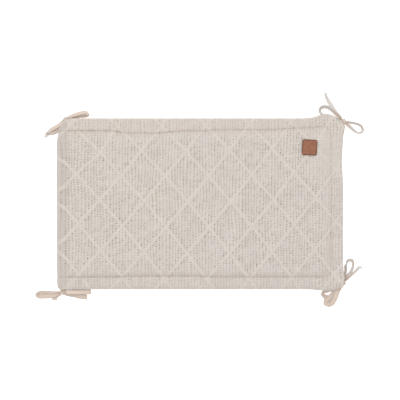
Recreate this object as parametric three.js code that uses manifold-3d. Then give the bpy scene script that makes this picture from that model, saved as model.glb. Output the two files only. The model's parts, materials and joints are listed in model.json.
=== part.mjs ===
import * as THREE from 'three';
import Module from 'manifold-3d';
import { TessellateModifier } from 'three/addons/modifiers/TessellateModifier.js';
import { mergeVertices } from 'three/addons/utils/BufferGeometryUtils.js';

// Playpen bumper: a long padded strip of knitted cloth with a leather patch and four tape ties, folded
// in three as it is stored and lying on its back. The top layer's free end is at +X, +Z is up, and the
// origin is on the surface it lies on, under the middle of the stack. All sizes are in millimetres.

const wasm = await Module();
wasm.setup();

// The folded stack
const stackLength = 598;
const stripWidth = 357;
const layerPitch = 18.4;
const middleFoldInset = 7;
const lowEndInset = 12;
const floorPress = 0.8;
const edgeSettle = 0.14;

// The padding, as half thicknesses on either side of the strip's middle surface
const crownHalf = 8.8;
const borderHalf = 7.2;
const edgeRound = 9;
const crownStart = 60;
const foldNip = 2.6;
const foldNipReach = 22;

// The line of topstitching that runs round the strip inside its edge. It is shallow where it passes
// round the outside of a fold.
const stitchInset = 25;
const stitchDepth = 3.9;
const stitchSpread = 4.5;
const stitchTurn = 20;
const foldStitchShare = 0.35;

// The raised trellis of the knit: its repeat, the place of one crossing, how far it goes on below the
// fold, and a band's size
const trellisLength = 90.5;
const trellisWidth = 103.9;
const trellisX = -26.5;
const trellisY = 2;
const trellisPastFold = 10;
const bandHalfWidth = 3;
const bandHeight = 1.2;

// The leather patch on the top layer, cut into triangles of short sides so that it follows the pad
const patchLength = 31;
const patchWidth = 32.5;
const patchThick = 1.4;
const patchCorner = 4;
const patchX = 228;
const patchY = 117;
const patchTurn = -3.5;
const patchGap = 0.5;
const patchSide = 9;
const patchCuts = 12;

// The cotton tape of the ties, the knot of a bow, and the row of a loop's table at its far end
const tapeWidth = 10.5;
const tapeThick = 1.6;
const tapeStepsPerRow = 2;
const knotLength = 7;
const knotWidth = 5.5;
const knotHeight = 5;
const farRow = 7;
const smallestBody = 1;
const shortestDetail = 0.05;

// Where handling and the ties pull the stack's outline out of its rectangle: the place, the pull, how
// far it reaches, and the height above which it acts
const everyLayer = -20;
const topLayerOnly = 28;
const pulls = [
  { x: -299, y: 178, dx: 12, dy: -10, reach: 19, above: everyLayer },
  { x: -299, y: -178, dx: 2, dy: 4, reach: 10, above: everyLayer },
  { x: -299, y: -153, dx: -2.5, dy: 0, reach: 22, above: everyLayer },
  { x: 262, y: 178, dx: 0, dy: 7, reach: 26, above: topLayerOnly },
  { x: 299, y: 178, dx: -4, dy: -10, reach: 13, above: everyLayer },
  { x: 299, y: 178, dx: 1, dy: 3.5, reach: 13, above: topLayerOnly },
  { x: 299, y: 162, dx: 5, dy: 0, reach: 14, above: topLayerOnly },
  { x: 299, y: 90, dx: -2, dy: 0, reach: 30, above: everyLayer },
  { x: 299, y: -156, dx: 4, dy: 0, reach: 15, above: topLayerOnly },
  { x: 299, y: -178, dx: -4, dy: 8, reach: 13, above: everyLayer },
  { x: 299, y: -178, dx: 3, dy: -4.5, reach: 13, above: topLayerOnly },
  { x: 262, y: -178, dx: 0, dy: -2.5, reach: 22, above: topLayerOnly },
];
const pullFade = 12;

// The ties. Each is caught in a corner seam and tied in a bow, so it has two ends, and each end has a
// loop and a tail that start inside the knot. A row is a point x, y, z on the tape's middle line and
// the direction of the tape's raised edge there: its angle from +X, and its angle above level.
const ties = {
  tie_right_back: {
    seam: [297.5, 173.5, 37, 139, 0],
    knot: { x: 300.5, y: 171, z: 28.5, turn: 135 },
    ends: [
      {
        loop: [
          [300.5, 171, 28.5, 90, 85], [309.5, 171, 25.5, 90, 90], [319.5, 170, 20, 90, 90],
          [332, 167.5, 13, 70, 90], [340.5, 162.5, 8.2, 40, 88], [345, 156, 5.9, 0, 85],
          [342.5, 150.5, 5.6, 300, 85], [337, 148, 5.7, 270, 85], [331.5, 148.5, 7, 240, 85],
          [325, 153.5, 10.5, 225, 80], [318, 159.5, 15.5, 225, 72], [309.5, 165, 22.5, 225, 70],
          [302, 170, 27.5, 225, 70],
        ],
        tail: [
          [302, 170.5, 28, 214, 60], [297, 176, 28, 214, 55], [292, 182.5, 25.5, 214, 52],
          [286, 190.5, 21.5, 214, 50], [280.5, 198.5, 17, 214, 50], [275.5, 206.5, 12.5, 214, 50],
          [271.5, 214, 9, 212, 52], [268, 220.5, 6.8, 205, 60], [265.5, 226, 6, 190, 70],
          [265, 231.5, 5.8, 185, 75],
        ],
      },
      {
        loop: [
          [300, 172, 29, 45, 80], [291.5, 181.5, 27, 45, 75], [283, 190, 22.5, 50, 75],
          [275, 197, 17.5, 60, 70], [268, 202, 13, 80, 65], [261.5, 203, 10, 95, 65],
          [256.5, 200.5, 8, 130, 62], [254, 195.5, 6.6, 175, 65], [255, 190, 6.4, 220, 75],
          [259.5, 185.5, 8, 260, 85], [269, 183.5, 11, 268, 88], [279, 182.5, 15, 268, 88],
          [289, 180.5, 19.5, 262, 88], [296.5, 175.5, 24, 240, 85], [300.5, 171, 27.5, 225, 75],
        ],
        tail: [
          [301, 170.5, 27, 100, 5], [302, 169, 22, 98, 0], [303.5, 167.5, 16.5, 96, 0],
          [304.5, 167, 11, 95, 0], [305, 166, 6.5, 95, 0], [306, 165.5, 2.2, 95, 0],
        ],
      },
    ],
  },
  tie_right_front: {
    seam: [303, -171.5, 37, 41, 0],
    knot: { x: 301.5, y: -169, z: 26.5, turn: 50 },
    ends: [
      {
        loop: [
          [300.5, -167, 28, 330, 80], [302, -160, 26.5, 0, 85], [304, -150.5, 23.5, 0, 88],
          [305.5, -140.5, 18.5, 0, 88], [306, -131, 13.5, 345, 85], [309, -124, 10, 120, 75],
          [314.5, -120.5, 7.5, 100, 65], [320, -121, 6.4, 70, 66], [324, -126, 6, 20, 78],
          [324, -133.5, 6.4, 345, 84], [319.5, -142.5, 9, 330, 84], [313, -150, 14, 320, 82],
          [307, -157, 20.5, 315, 80], [301.5, -166, 26.5, 310, 78],
        ],
        tail: [
          [300, -170.5, 26, 80, 80], [292.5, -178.5, 22.5, 90, 85], [285, -182.5, 18.5, 90, 88],
          [276, -184.5, 14, 90, 88], [267, -186, 10, 92, 86], [261, -188, 7.2, 130, 84],
          [259.5, -192.5, 6, 180, 84], [260.5, -196, 5.8, 230, 84],
        ],
      },
      {
        loop: [
          [300, -171, 27.5, 330, 70], [293.5, -178.5, 25, 345, 50], [288.5, -187, 21, 345, 30],
          [285, -195.5, 16, 340, 22], [281, -203, 11.5, 325, 20], [275.5, -208, 8, 300, 20],
          [270.5, -210.5, 5.8, 265, 24], [265.5, -208.5, 4.9, 215, 27], [265.5, -203.5, 5.4, 165, 25],
          [269.5, -197, 8, 135, 30], [276, -189.5, 13, 130, 40], [283.5, -183, 19.5, 125, 55],
          [291, -177, 25, 125, 70], [299, -170.5, 27.4, 310, 80],
        ],
        tail: [
          [300.5, -169, 27, 315, 85], [305, -163.5, 25.5, 315, 88], [312, -157.5, 22, 315, 88],
          [320, -150.5, 16.5, 315, 88], [328.5, -142.5, 10.5, 315, 88], [333.5, -137, 7.2, 310, 88],
          [337, -135, 6.1, 300, 85], [341, -135, 5.8, 280, 85],
        ],
      },
    ],
  },
  tie_left_front: {
    seam: [-284.5, -182, 6.8, 135, 0],
    knot: { x: -290.5, y: -187, z: 7.6, turn: 5 },
    ends: [
      {
        loop: [
          [-289.5, -186.5, 8.4, 270, 80], [-296, -186.5, 8.6, 270, 70], [-306.5, -185.5, 8.2, 270, 58],
          [-319, -185.5, 7.4, 270, 48], [-332, -185.5, 6.8, 268, 50], [-339.5, -186.5, 6.2, 250, 70],
          [-343, -191, 5.8, 180, 85], [-340, -195, 4.6, 240, 45], [-330, -196, 3.5, 268, 25],
          [-317.5, -195, 3.4, 272, 22], [-305, -192, 4.6, 275, 30], [-296, -189.5, 5.8, 275, 40],
          [-289.5, -188, 6.4, 275, 50],
        ],
        tail: [
          [-291, -188.5, 5, 85, 35], [-284, -190, 2.6, 80, 10], [-275.5, -191, 1.2, 79, 0],
          [-266, -193, 0.9, 79, 0], [-256.5, -194.5, 0.9, 79, 0], [-248, -196, 0.9, 79, 0],
          [-240, -197.5, 0.9, 79, 0],
        ],
      },
      {
        loop: [
          [-290.5, -186.5, 9, 90, 45], [-282, -185.5, 10.4, 90, 25], [-273.5, -185.5, 11, 90, 12],
          [-262, -185.5, 10.8, 90, 8], [-249.5, -185.5, 9.8, 90, 5], [-239, -185.5, 8.2, 90, 5],
          [-232, -185.5, 6.6, 90, 0], [-230, -185.5, 4.8, 90, 0], [-233, -186, 3.2, 90, 0],
          [-240.5, -186, 2.7, 90, 0], [-252, -186.5, 2.8, 90, 0], [-264.5, -187, 3.4, 90, 4],
          [-276, -187.5, 4.8, 90, 15], [-284.5, -188, 6, 90, 25], [-291, -188, 7, 90, 40],
        ],
        tail: [
          [-289.5, -188, 5.2, 127, 30], [-296.5, -190, 2.6, 120, 12], [-302, -192, 1.2, 122, 0],
          [-306, -195, 0.9, 142, 0], [-308.5, -198.5, 0.9, 165, 0], [-309, -202, 0.9, 172, 0],
        ],
      },
    ],
  },
  tie_left_back: {
    seam: [-278.5, 173, 6.8, 45, 0],
    knot: { x: -282.5, y: 177, z: 7.6, turn: 38 },
    ends: [
      {
        loop: [
          [-281, 177.5, 8.4, 300, 80], [-287, 172.5, 8.8, 300, 72], [-293.5, 166.5, 8.4, 300, 62],
          [-301.5, 161, 7.8, 298, 55], [-311, 156, 7, 300, 52], [-318.5, 152, 6.4, 305, 62],
          [-323, 149, 5.9, 260, 85], [-320, 146.5, 5.8, 130, 76], [-312.5, 147.5, 5.6, 118, 60],
          [-305, 150.5, 5.6, 118, 56], [-297.5, 156, 6.2, 120, 62], [-291, 163, 6.6, 122, 70],
          [-285.5, 170.5, 7, 122, 75], [-282, 176, 7.2, 122, 75],
        ],
        tail: [
          [-282.5, 176, 4.6, 300, 35], [-276.5, 180, 2.2, 292, 10], [-269.5, 183, 1, 286, 0],
          [-262, 185, 0.9, 285, 0], [-254.5, 186.5, 0.9, 283, 0], [-247, 187.5, 0.9, 280, 0],
        ],
      },
      {
        loop: [
          [-282.5, 176.5, 8.6, 300, 78], [-274, 182, 9.4, 298, 72], [-265.5, 186.5, 9, 292, 60],
          [-254, 190.5, 7.8, 288, 50], [-244.5, 192.5, 6.8, 285, 48], [-237.5, 192.5, 6.2, 280, 62],
          [-233.5, 189.5, 5.8, 0, 85], [-234.5, 186, 5.7, 100, 74], [-240.5, 184, 5.6, 100, 66],
          [-251, 183, 5.8, 100, 68], [-262.5, 182, 6, 102, 70], [-272.5, 180.5, 6.4, 110, 72],
          [-281, 176.5, 6.6, 120, 70],
        ],
        tail: [
          [-281.5, 177.5, 4.6, 300, 35], [-288.5, 171, 2.3, 305, 10], [-295.5, 164, 1.1, 303, 0],
          [-305, 156.5, 0.9, 302, 0], [-314.5, 151, 1.2, 310, 0], [-320.5, 147.5, 2.6, 335, 10],
          [-323.5, 143.5, 4.1, 0, 30], [-324.5, 137.5, 5.2, 5, 50],
        ],
      },
    ],
  },
};

// The colours and finishes
const knit = new THREE.MeshStandardMaterial({ color: 0xd3c8be, roughness: 0.95, metalness: 0 });
const leather = new THREE.MeshStandardMaterial({ color: 0x9c6a53, roughness: 0.6, metalness: 0 });
const cotton = new THREE.MeshStandardMaterial({ color: 0xd8c5b2, roughness: 0.9, metalness: 0 });

const halfLength = stackLength / 2;
const halfWidth = stripWidth / 2;

// The folds seen from the side: their centres, and the heights of the layers' middle surfaces
const foldRadius = layerPitch / 2;
const foldReach = foldRadius + crownHalf;
const leftFoldX = foldReach - halfLength;
const rightFoldX = halfLength - middleFoldInset - foldReach;
const lowEndX = lowEndInset - halfLength;
const lowLayerZ = crownHalf - floorPress;
const middleLayerZ = lowLayerZ + layerPitch;
const topLayerZ = middleLayerZ + layerPitch;

// Places along the strip. u is x on the top layer, and runs on below that round the folds.
const foldRun = Math.PI * foldRadius;
const leftFoldStart = leftFoldX;
const leftFoldEnd = leftFoldStart - foldRun;
const rightFoldStart = leftFoldEnd - (rightFoldX - leftFoldX);
const rightFoldEnd = rightFoldStart - foldRun;
const stripEnd = rightFoldEnd - (rightFoldX - lowEndX);
const trellisEnd = leftFoldEnd - trellisPastFold;

const rising = (from, to, value) => THREE.MathUtils.smoothstep(value, from, to);

// The smaller of two distances, rounded over stitchTurn where they are alike
function nearer(a, b) {
  const share = THREE.MathUtils.clamp(0.5 + (b - a) / (2 * stitchTurn), 0, 1);
  return THREE.MathUtils.lerp(b, a, share) - stitchTurn * share * (1 - share);
}

// Rises from 0 at a sewn edge to 1 along a quarter of an ellipse
function roundedEdge(distance) {
  const flat = 1 - Math.min(distance / edgeRound, 1);
  return Math.sqrt(1 - flat * flat);
}

// The height of the trellis: a ridge along every line where either slanting coordinate is whole
const trellisSlope = Math.hypot(1 / trellisLength, 1 / trellisWidth);
const bandShare = bandHalfWidth * trellisSlope;
function trellisHeight(u, v) {
  const along = (u - trellisX) / trellisLength;
  const over = (v - trellisY) / trellisWidth;
  const offLine = (value) => Math.abs(value - Math.round(value)) / bandShare;
  return bandHeight * Math.max(0, 1 - Math.min(offLine(along + over), offLine(along - over)));
}

// Half the pad's thickness at a place on the strip, on its front (side 1) or its back (side -1)
function halfThickness(u, v, side) {
  const fromSide = halfWidth - Math.abs(v);
  const fromEnd = Math.min(halfLength - u, u - stripEnd);
  const fromEdge = nearer(fromSide, fromEnd);
  const fromLeftFold = Math.abs(u - (leftFoldStart + leftFoldEnd) / 2) - foldRun / 2;
  const fromRightFold = Math.abs(u - (rightFoldStart + rightFoldEnd) / 2) - foldRun / 2;
  const fromInnerFold = side > 0 ? fromRightFold : fromLeftFold;
  const fromOuterFold = side > 0 ? fromLeftFold : fromRightFold;
  const stitchShare = THREE.MathUtils.lerp(foldStitchShare, 1, rising(0, foldNipReach, fromOuterFold));
  let half = borderHalf + (crownHalf - borderHalf) * rising(stitchInset, crownStart, fromEdge);
  half -= stitchDepth * stitchShare * Math.exp(-Math.abs(fromEdge - stitchInset) / stitchSpread);
  half -= foldNip * (1 - rising(0, foldNipReach, fromInnerFold));
  if (side > 0 && u > trellisEnd) half += trellisHeight(u, v);
  return half * roundedEdge(fromSide) * roundedEdge(fromEnd);
}

// The strip's middle line seen from the side: a point on it, and which way the strip's front faces
function middleLine(u) {
  if (u >= leftFoldStart) return { x: u, z: topLayerZ, nx: 0, nz: 1 };
  if (u > leftFoldEnd) {
    const angle = (leftFoldStart - u) / foldRadius;
    const nx = -Math.sin(angle);
    const nz = Math.cos(angle);
    return { x: leftFoldX + foldRadius * nx, z: topLayerZ - foldRadius * (1 - nz), nx, nz };
  }
  if (u >= rightFoldStart) return { x: leftFoldX + leftFoldEnd - u, z: middleLayerZ, nx: 0, nz: -1 };
  if (u > rightFoldEnd) {
    const angle = (rightFoldStart - u) / foldRadius;
    const nx = -Math.sin(angle);
    const nz = -Math.cos(angle);
    return { x: rightFoldX - foldRadius * nx, z: middleLayerZ - foldRadius * (1 + nz), nx, nz };
  }
  return { x: rightFoldX - rightFoldEnd + u, z: lowLayerZ, nx: 0, nz: 1 };
}

// Presses the lowest layer flat, settles the stack's edges and pulls its outline as the table says
function settle(point) {
  const inLength = rising(0, crownStart, halfLength - Math.abs(point.x));
  const inWidth = rising(0, crownStart, halfWidth - Math.abs(point.y));
  const lowered = 1 - edgeSettle * (1 - inLength * inWidth);
  const moved = new THREE.Vector3(point.x, point.y, Math.max(point.z, 0) * lowered);
  for (const pull of pulls) {
    const away = Math.hypot(point.x - pull.x, point.y - pull.y) / pull.reach;
    const share = Math.exp(-away * away) * rising(pull.above, pull.above + pullFade, point.z);
    moved.x += pull.dx * share;
    moved.y += pull.dy * share;
  }
  return moved;
}

// A point of the strip's surface as it lies folded
function onStrip(u, v, side) {
  const line = middleLine(u);
  const offset = side * halfThickness(u, v, side);
  return settle(new THREE.Vector3(line.x + offset * line.nx, v, line.z + offset * line.nz));
}

// The point where the side of a polygon crosses a cut, the same one from both of its polygons
function crossing(from, to, fromValue, toValue) {
  if (from.x > to.x || (from.x === to.x && from.y > to.y)) return crossing(to, from, toValue, fromValue);
  return from.clone().lerp(to, fromValue / (fromValue - toValue));
}

// Cuts every polygon of the flat strip along the line a * u + b * v = c
function cutAlong(polygons, a, b, c) {
  const onCut = 1e-7;
  const pieces = [];
  for (const polygon of polygons) {
    const low = [];
    const high = [];
    polygon.forEach((point, index) => {
      const next = polygon[(index + 1) % polygon.length];
      const here = a * point.x + b * point.y - c;
      const there = a * next.x + b * next.y - c;
      if (here < onCut) low.push(point);
      if (here > -onCut) high.push(point);
      if (Math.min(Math.abs(here), Math.abs(there)) < onCut || here * there > 0) return;
      const cut = crossing(point, next, here, there);
      low.push(cut);
      high.push(cut);
    });
    if (low.length > 2) pieces.push(low);
    if (high.length > 2) pieces.push(high);
  }
  return pieces;
}

// Rows of points near a sewn edge, by their distance from it, and how densely the folds are divided
const edgeRows = [1, 3.5, 9, 19, 25, 31, 42, 60];
const foldParts = 8;
const longestRun = 75;

// The flat strip between two places along it, as one polygon cut along the rows and across the folds
function flatStrip(from, to) {
  const corners = [[from, -halfWidth], [to, -halfWidth], [to, halfWidth], [from, halfWidth]];
  let polygons = [corners.map(([u, v]) => new THREE.Vector2(u, v))];
  for (const row of edgeRows) {
    polygons = cutAlong(polygons, 0, 1, halfWidth - row);
    polygons = cutAlong(polygons, 0, 1, row - halfWidth);
    if (to === halfLength) polygons = cutAlong(polygons, 1, 0, halfLength - row);
    if (from === stripEnd) polygons = cutAlong(polygons, 1, 0, stripEnd + row);
  }
  for (const foldStart of [leftFoldStart, rightFoldStart]) {
    for (let part = 0; part <= foldParts; part += 1) {
      polygons = cutAlong(polygons, 1, 0, foldStart - (foldRun * part) / foldParts);
    }
    for (const beside of [foldNipReach / 2, foldNipReach, 2 * foldNipReach]) {
      polygons = cutAlong(polygons, 1, 0, foldStart + beside);
      polygons = cutAlong(polygons, 1, 0, foldStart - foldRun - beside);
    }
  }
  return polygons;
}

// The plain strip is also cut at even steps along it and down its middle
function plainSheet(from, to) {
  let polygons = cutAlong(flatStrip(from, to), 0, 1, 0);
  const steps = Math.ceil((to - from) / longestRun);
  for (let step = 1; step < steps; step += 1) {
    polygons = cutAlong(polygons, 1, 0, from + ((to - from) * step) / steps);
  }
  return polygons;
}

// The strip with the trellis is also cut along the crest and both feet of every band
function trellisSheet(from, to) {
  let polygons = flatStrip(from, to);
  const furthest = Math.ceil((stackLength / trellisLength + stripWidth / trellisWidth) / 2) + 1;
  for (let line = -furthest; line <= furthest; line += 1) {
    for (const foot of [-bandShare, 0, bandShare]) {
      for (const slant of [1, -1]) {
        const offset = trellisX / trellisLength + (slant * trellisY) / trellisWidth;
        polygons = cutAlong(polygons, 1 / trellisLength, slant / trellisWidth, line + foot + offset);
      }
    }
  }
  return polygons;
}

// Adds to the polygons' sides every point of a list that lies on one, where both run along the line on
// which the coordinate named axis has a given value
function addPoints(polygons, points, axis, value) {
  const other = axis === 'x' ? 'y' : 'x';
  const near = (point) => Math.abs(point[axis] - value) < 1e-6;
  const onLine = points.filter(near);
  return polygons.map((polygon) => polygon.flatMap((point, index) => {
    const next = polygon[(index + 1) % polygon.length];
    if (!near(point) || !near(next)) return [point];
    const start = point[other];
    const reach = next[other] - start;
    const share = (extra) => (extra[other] - start) / reach;
    const between = onLine.filter((extra) => share(extra) * (1 - share(extra)) > 1e-9);
    between.sort((first, second) => share(first) - share(second));
    return [point, ...between];
  }));
}

const doubleArea = (a, b, c) => (b.x - a.x) * (c.y - a.y) - (c.x - a.x) * (b.y - a.y);

// Splits a polygon into the fan of triangles whose thinnest one is the fattest
function fan(polygon) {
  const around = (start) => polygon.slice(start).concat(polygon.slice(0, start));
  const triangles = ([apex, ...rest]) => rest.slice(1).map((corner, index) => [apex, rest[index], corner]);
  const thinnest = (list) => Math.min(...list.map(([a, b, c]) => doubleArea(a, b, c)));
  const fans = polygon.map((corner, start) => triangles(around(start)));
  return fans.reduce((best, other) => (thinnest(other) > thinnest(best) ? other : best));
}

// The folded strip: its front and back sheets, joined point to point along the sewn edge
function stripGeometry() {
  let trellis = trellisSheet(trellisEnd, halfLength);
  let plain = plainSheet(stripEnd, trellisEnd);
  let back = plainSheet(stripEnd, halfLength);
  trellis = addPoints(trellis, plain.flat(), 'x', trellisEnd);
  plain = addPoints(plain, trellis.flat(), 'x', trellisEnd);
  for (const [axis, value] of [['y', halfWidth], ['y', -halfWidth], ['x', halfLength], ['x', stripEnd]]) {
    const front = [...trellis, ...plain].flat();
    const behind = back.flat();
    trellis = addPoints(trellis, behind, axis, value);
    plain = addPoints(plain, behind, axis, value);
    back = addPoints(back, front, axis, value);
  }
  const points = [];
  const addSheet = (polygons, side) => {
    for (const triangle of polygons.flatMap(fan)) {
      const corners = side > 0 ? triangle : triangle.slice().reverse();
      points.push(...corners.map(({ x, y }) => onStrip(x, y, side)));
    }
  };
  addSheet(trellis, 1);
  addSheet(plain, 1);
  addSheet(back, -1);
  return new THREE.BufferGeometry().setFromPoints(points);
}

// The leather patch: a rounded square that lies on the bands of the knit and follows the pad's slope
function patchGeometry() {
  const farX = patchLength / 2 - patchCorner;
  const farY = patchWidth / 2 - patchCorner;
  const outline = new THREE.Shape();
  outline.absarc(farX, farY, patchCorner, 0, Math.PI / 2);
  outline.absarc(-farX, farY, patchCorner, Math.PI / 2, Math.PI);
  outline.absarc(-farX, -farY, patchCorner, Math.PI, 1.5 * Math.PI);
  outline.absarc(farX, -farY, patchCorner, 1.5 * Math.PI, 2 * Math.PI);
  outline.closePath();
  const flat = new THREE.ExtrudeGeometry(outline, {
    depth: patchThick,
    bevelEnabled: false,
    curveSegments: 5,
  });
  const geometry = new TessellateModifier(patchSide, patchCuts).modify(flat);
  geometry.rotateZ(THREE.MathUtils.degToRad(patchTurn));
  geometry.translate(patchX, patchY, patchGap + bandHeight);
  const position = geometry.attributes.position;
  for (let index = 0; index < position.count; index += 1) {
    const x = position.getX(index);
    const y = position.getY(index);
    const cloth = settle(new THREE.Vector3(x, y, topLayerZ + halfThickness(x, y, -1)));
    position.setZ(index, position.getZ(index) + cloth.z);
  }
  return geometry;
}

// A direction from its angle in plan and its angle above level, both in degrees
function direction(turn, rise) {
  const [inPlan, above] = [turn, rise].map(THREE.MathUtils.degToRad);
  const level = Math.cos(above);
  return new THREE.Vector3(Math.cos(inPlan) * level, Math.sin(inPlan) * level, Math.sin(above));
}

// A flat tape of four sides between two rows of a route, its width turned as the rows say
function tapeGeometry(rows, firstRow, lastRow) {
  const places = rows.map(([x, y, z]) => new THREE.Vector3(x, y, z));
  const middle = new THREE.CatmullRomCurve3(places, false, 'centripetal');
  const edges = rows.map(([, , , turn, rise]) => direction(turn, rise));
  const section = [[-1, -1], [1, -1], [1, 1], [-1, 1]];
  const steps = (lastRow - firstRow) * tapeStepsPerRow;
  const rings = [];
  for (let step = 0; step <= steps; step += 1) {
    const place = firstRow + step / tapeStepsPerRow;
    const row = Math.min(Math.floor(place), rows.length - 2);
    const centre = middle.getPoint(place / (rows.length - 1));
    const along = middle.getTangent(place / (rows.length - 1));
    const across = edges[row].clone().lerp(edges[row + 1], place - row);
    across.addScaledVector(along, -across.dot(along)).normalize();
    const out = along.clone().cross(across);
    rings.push(section.map(([side, face]) => centre.clone()
      .addScaledVector(across, (side * tapeWidth) / 2)
      .addScaledVector(out, (face * tapeThick) / 2)));
  }
  const points = [];
  for (let step = 0; step < steps; step += 1) {
    for (let side = 0; side < section.length; side += 1) {
      const next = (side + 1) % section.length;
      const [here, there] = [rings[step], rings[step + 1]];
      points.push(here[side], here[next], there[next], here[side], there[next], there[side]);
    }
  }
  const start = rings[0];
  const end = rings[steps];
  points.push(start[0], start[2], start[1], start[0], start[3], start[2]);
  points.push(end[0], end[1], end[2], end[0], end[2], end[3]);
  return new THREE.BufferGeometry().setFromPoints(points);
}

// A geometry as a solid that can be joined to others
function asSolid(geometry) {
  geometry.deleteAttribute('normal');
  geometry.deleteAttribute('uv');
  const merged = mergeVertices(geometry);
  return new wasm.Manifold(new wasm.Mesh({
    numProp: 3,
    vertProperties: merged.attributes.position.array,
    triVerts: new Uint32Array(merged.index.array),
  }));
}

function asGeometry(joined) {
  const { vertProperties, triVerts } = joined.getMesh();
  const geometry = new THREE.BufferGeometry();
  geometry.setAttribute('position', new THREE.BufferAttribute(vertProperties, 3));
  geometry.setIndex(new THREE.BufferAttribute(triVerts, 1));
  return geometry;
}

// A tie: its knot, the length that runs to the seam, and the loop and tail of each end. A loop is joined
// from two lengths that meet halfway round it, and hollows left inside the knot are filled.
function tieGeometry({ seam, knot, ends }) {
  const { x, y, z, turn } = knot;
  const lump = new THREE.SphereGeometry(1, 10, 8);
  lump.scale(knotLength, knotWidth, knotHeight);
  lump.rotateZ(THREE.MathUtils.degToRad(turn));
  lump.translate(x, y, z);
  const toKnot = [seam, [x, y, z, seam[3], seam[4]]];
  const tapes = [tapeGeometry(toKnot, 0, 1)];
  for (const { loop, tail } of ends) {
    tapes.push(tapeGeometry(loop, 0, farRow));
    tapes.push(tapeGeometry(loop, farRow, loop.length - 1));
    tapes.push(tapeGeometry(tail, 0, tail.length - 1));
  }
  const joined = tapes.reduce((whole, tape) => whole.add(asSolid(tape)), asSolid(lump));
  const bodies = joined.decompose().filter((body) => body.volume() > smallestBody);
  return asGeometry(wasm.Manifold.compose(bodies).simplify(shortestDetail));
}

function piece(name, geometry, material) {
  geometry.computeVertexNormals();
  const mesh = new THREE.Mesh(geometry, material);
  mesh.name = name;
  return mesh;
}

const bumper = new THREE.Group();
bumper.add(piece('bumper_strip', stripGeometry(), knit));
bumper.add(piece('leather_patch', patchGeometry(), leather));
for (const [name, tie] of Object.entries(ties)) {
  bumper.add(piece(name, tieGeometry(tie), cotton));
}

export default bumper;
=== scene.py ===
# Playpen bumper: a long padded strip of knitted cloth, folded in three, with a leather patch and a
# cotton tape tie at each of its four corners. Everything is in metres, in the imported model's frame.
import json

import bpy
import numpy as np
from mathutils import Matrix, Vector

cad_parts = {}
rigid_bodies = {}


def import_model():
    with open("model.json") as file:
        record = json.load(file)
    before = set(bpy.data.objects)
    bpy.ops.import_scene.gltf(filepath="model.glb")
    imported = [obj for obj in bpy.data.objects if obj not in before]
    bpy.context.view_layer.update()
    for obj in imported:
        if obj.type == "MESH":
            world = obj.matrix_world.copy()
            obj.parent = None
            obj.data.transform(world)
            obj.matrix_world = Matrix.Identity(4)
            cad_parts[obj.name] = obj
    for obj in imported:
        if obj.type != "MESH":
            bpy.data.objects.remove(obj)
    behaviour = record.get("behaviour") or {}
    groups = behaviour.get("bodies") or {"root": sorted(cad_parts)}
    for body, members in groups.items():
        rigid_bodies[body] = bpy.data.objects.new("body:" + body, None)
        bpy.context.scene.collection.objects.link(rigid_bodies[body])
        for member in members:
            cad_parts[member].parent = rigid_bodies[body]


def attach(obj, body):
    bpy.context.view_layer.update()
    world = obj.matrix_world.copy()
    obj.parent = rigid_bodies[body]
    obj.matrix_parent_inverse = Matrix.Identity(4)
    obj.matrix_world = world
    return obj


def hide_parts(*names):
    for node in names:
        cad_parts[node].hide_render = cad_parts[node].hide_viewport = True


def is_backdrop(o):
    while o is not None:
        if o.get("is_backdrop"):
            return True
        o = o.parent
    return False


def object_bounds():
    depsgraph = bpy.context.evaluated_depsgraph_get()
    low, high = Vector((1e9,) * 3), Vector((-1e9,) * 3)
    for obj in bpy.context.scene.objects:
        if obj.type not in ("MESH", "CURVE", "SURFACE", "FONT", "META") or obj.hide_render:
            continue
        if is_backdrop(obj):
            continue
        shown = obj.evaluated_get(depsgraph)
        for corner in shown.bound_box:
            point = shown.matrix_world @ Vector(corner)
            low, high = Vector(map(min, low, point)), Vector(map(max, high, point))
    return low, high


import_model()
cad_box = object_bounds()

# The camera hangs straight above the folded bumper, as over a table. A long lens three metres above
# the cloth takes in a square of 0.83 m there.
face_height = 0.054
camera_data = bpy.data.cameras.new("camera")
camera_data.sensor_width = 36
camera_data.lens = 130.1
camera = bpy.data.objects.new("camera", camera_data)
camera.location = (0.0006, 0.0079, face_height + 3)
bpy.context.collection.objects.link(camera)
bpy.context.scene.camera = camera

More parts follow.
